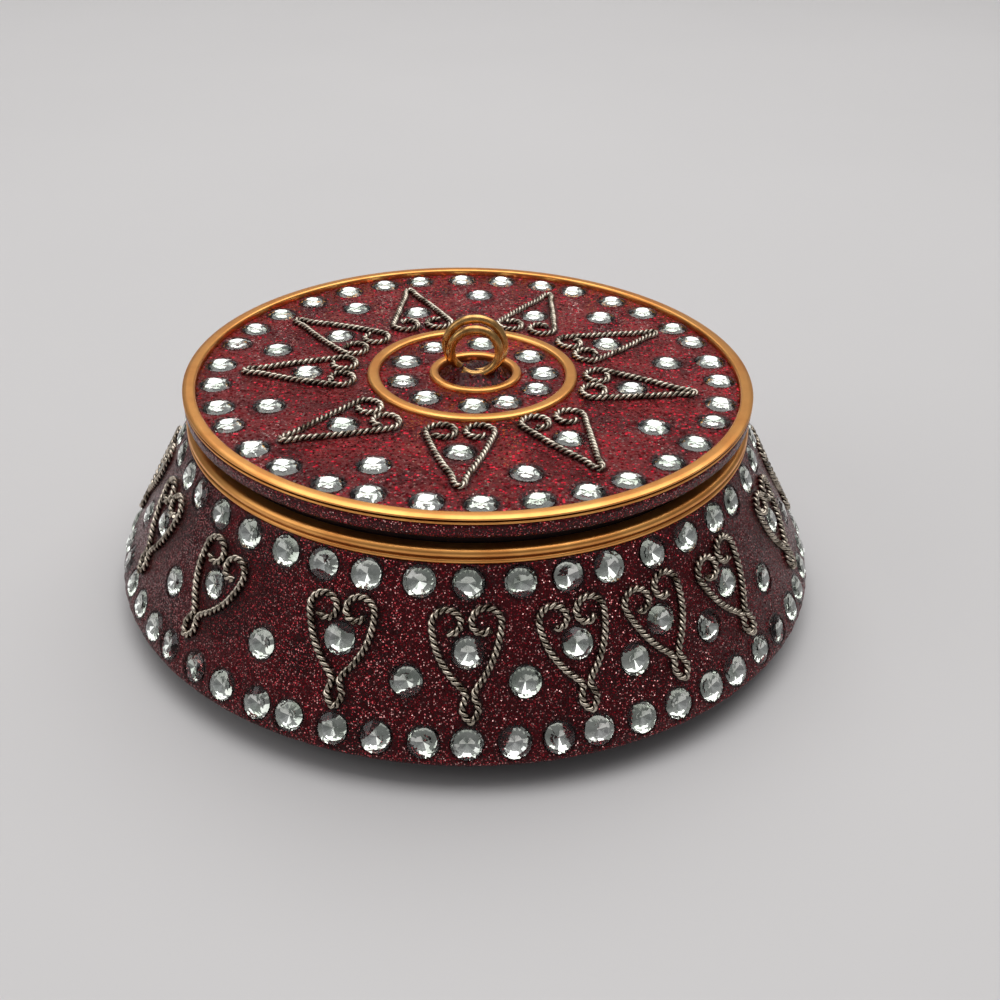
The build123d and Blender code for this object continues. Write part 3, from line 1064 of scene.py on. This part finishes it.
def makeHandle():
    low = boxSizes["plateTop"] + handle["bed"]
    inner, outer = low + handle["innerLift"], low + handle["outerLift"]
    heights = [inner, inner + handle["innerTurn"], outer, outer + handle["outerTurn"], low]
    stops = [Vector((boxSizes["centreShift"], (k - 2) * handle["pitch"] / 2, z))
             for k, z in enumerate(heights)]
    spots = []
    tucked, arc = handle["tuckedPoints"], handle["arcPoints"]
    for k in range(-tucked, 0):  # the buried end runs on past the bottom of the near turn
        turn = math.radians(handle["tuckedTurn"] * k / tucked)
        spots.append(onArc(stops[0], stops[1], 1, turn))
    side = 1
    for start, end in zip(stops, stops[1:]):
        spots += [onArc(start, end, side, math.pi * k / arc) for k in range(arc)]
        side = -side
    spots.append(stops[-1])
    addWire("ringHandle", [[spot * mm for spot in spots]], handle["wire"] / 2,
            handle["roundness"], "lid", "gilt_wire", "handle_ring")


def makeMound():
    points = []
    centre = boxSizes["centreShift"]
    for way in directions(mound["columns"]):
        for k in range(mound["rows"]):
            radius = mound["foot"] * (1 - k / (mound["rows"] - 1))
            x, y = way.x * radius, way.y * radius
            climb = (mound["foot"] - mound["brim"] - radius) / mound["climb"]
            climb = min(1.0, max(0.0, climb))
            swell = climb * climb * (3 - 2 * climb)
            height = boxSizes["lacTop"] - mound["sink"] + (mound["rise"] + mound["sink"]) * swell
            lump = Vector((x, y, mound["lumpSlice"])) * mound["lumpScale"]
            height += mound["lumps"] * noise.noise(lump) * climb
            # a shoulder on either side, where the wire goes in
            beside = math.hypot(abs(x) - mound["shoulder"], y) / mound["shoulderSpread"]
            height += mound["shoulderRise"] * math.exp(-beside ** 2) * climb
            points.append((way * radius + Vector((centre, 0, height))) * mm)
        for radius in (turned["axis"], mound["foot"]):
            points.append((way * radius + Vector((centre, 0, boxSizes["plateTop"]))) * mm)
    shades = [mound["shade"]] * len(points)
    addLac("handleMound", points, shades, mound["columns"], "lid", "lid_enamel", "handle_mound")


makeHandle()
makeMound()
print("handle made")


# Floor, light and camera; these sizes are in metres

room = {
    "size": 1.6,
    "back": 0.75,
    "bend": 0.35,
    "bendSteps": 12,
    # the light of the room by height, from the floor up
    "glow": [(0.0, (0.20, 0.198, 0.202)), (0.45, (0.15, 0.15, 0.155)), (1.0, (0.40, 0.40, 0.41))],
}


def makeFloor():
    size, back, bend, steps = room["size"], room["back"], room["bend"], room["bendSteps"]
    profile = [(-size, 0.0), (back, 0.0)]
    for k in range(1, steps + 1):
        turn = math.pi / 2 * k / steps
        profile.append((back + bend * math.sin(turn), bend * (1 - math.cos(turn))))
    profile.append((back + bend, size))
    points = [(x, y, z) for y, z in profile for x in (-size, size)]
    faces = [(2 * k, 2 * k + 1, 2 * k + 3, 2 * k + 2) for k in range(len(profile) - 1)]
    mesh = bpy.data.meshes.new("paleFloor")
    mesh.from_pydata(points, [], faces)
    mesh.polygons.foreach_set("use_smooth", [True] * len(mesh.polygons))
    mesh.materials.append(cloudy("palePaper"))
    floor = bpy.data.objects.new("paleFloor", mesh)
    bpy.context.scene.collection.objects.link(floor)


lamps = [
    {"name": "ceilingLamp", "place": (0.05, 0.22, 0.80), "size": 1.1, "power": 7.1},
    {"name": "windowLamp", "place": (-0.7, -0.15, 0.45), "size": 0.5, "power": 0.8},
]
lampAim = (0, 0, 0.02)


def makeLight():
    for lamp in lamps:
        light = bpy.data.lights.new(lamp["name"], "AREA")
        light.size = lamp["size"]
        light.energy = lamp["power"]
        stand = bpy.data.objects.new(lamp["name"], light)
        stand.location = lamp["place"]
        aim = Vector(lampAim) - stand.location
        stand.rotation_euler = aim.to_track_quat("-Z", "Y").to_euler()
        bpy.context.scene.collection.objects.link(stand)
    world = bpy.data.worlds.new("room")
    world.use_nodes = True
    tree = world.node_tree
    way = addNode(tree, "ShaderNodeTexCoord").outputs["Generated"]
    height = addNode(tree, "ShaderNodeSeparateXYZ", {0: way}).outputs[2]
    feed(tree, tree.nodes["Background"], {"Color": ramp(tree, height, room["glow"])})
    bpy.context.scene.world = world


# Where the photograph was taken from: the distance is in lid radii, the shift in millimetres,
# and yaw, pitch and roll are in radians
view = {
    "focalPixels": 1223.75,
    "photoPixels": 1000,
    "sensorWidth": 36,
    "clipStart": 0.01,
    "distance": 4.3896,
    "elevationDegrees": 25.435,
    "yaw": 0.0285,
    "pitch": -0.1072,
    "roll": 0.0116,
    "axisShift": 0.45,
}


def swung(first, second, angle):
    # two axes turned in their own plane
    c, s = math.cos(angle), math.sin(angle)
    return c * first - s * second, s * first + c * second


def makeCamera():
    e = math.radians(view["elevationDegrees"])
    right, ahead = Vector((1, 0, 0)), Vector((0, math.cos(e), -math.sin(e)))
    up = right.cross(ahead)
    right, ahead = swung(right, ahead, view["yaw"])
    up, ahead = swung(up, ahead, view["pitch"])
    right, up = swung(right, up, -view["roll"])
    reach = view["distance"] * boxSizes["lidRadius"]
    height = reach * math.sin(e) + boxSizes["rimTop"]
    place = Vector((-view["axisShift"], -reach * math.cos(e), height)) * mm
    axes = Matrix((right, up, -ahead)).transposed().to_4x4()
    lens = bpy.data.cameras.new("photoCamera")
    lens.sensor_width = view["sensorWidth"]
    lens.lens = view["focalPixels"] * view["sensorWidth"] / view["photoPixels"]
    lens.clip_start = view["clipStart"]
    camera = bpy.data.objects.new("photoCamera", lens)
    camera.matrix_world = Matrix.Translation(place) @ axes
    bpy.context.scene.collection.objects.link(camera)
    bpy.context.scene.camera = camera


makeFloor()
makeLight()
makeCamera()
bpy.context.scene.view_settings.view_transform = "Standard"
print("floor, light and camera set")
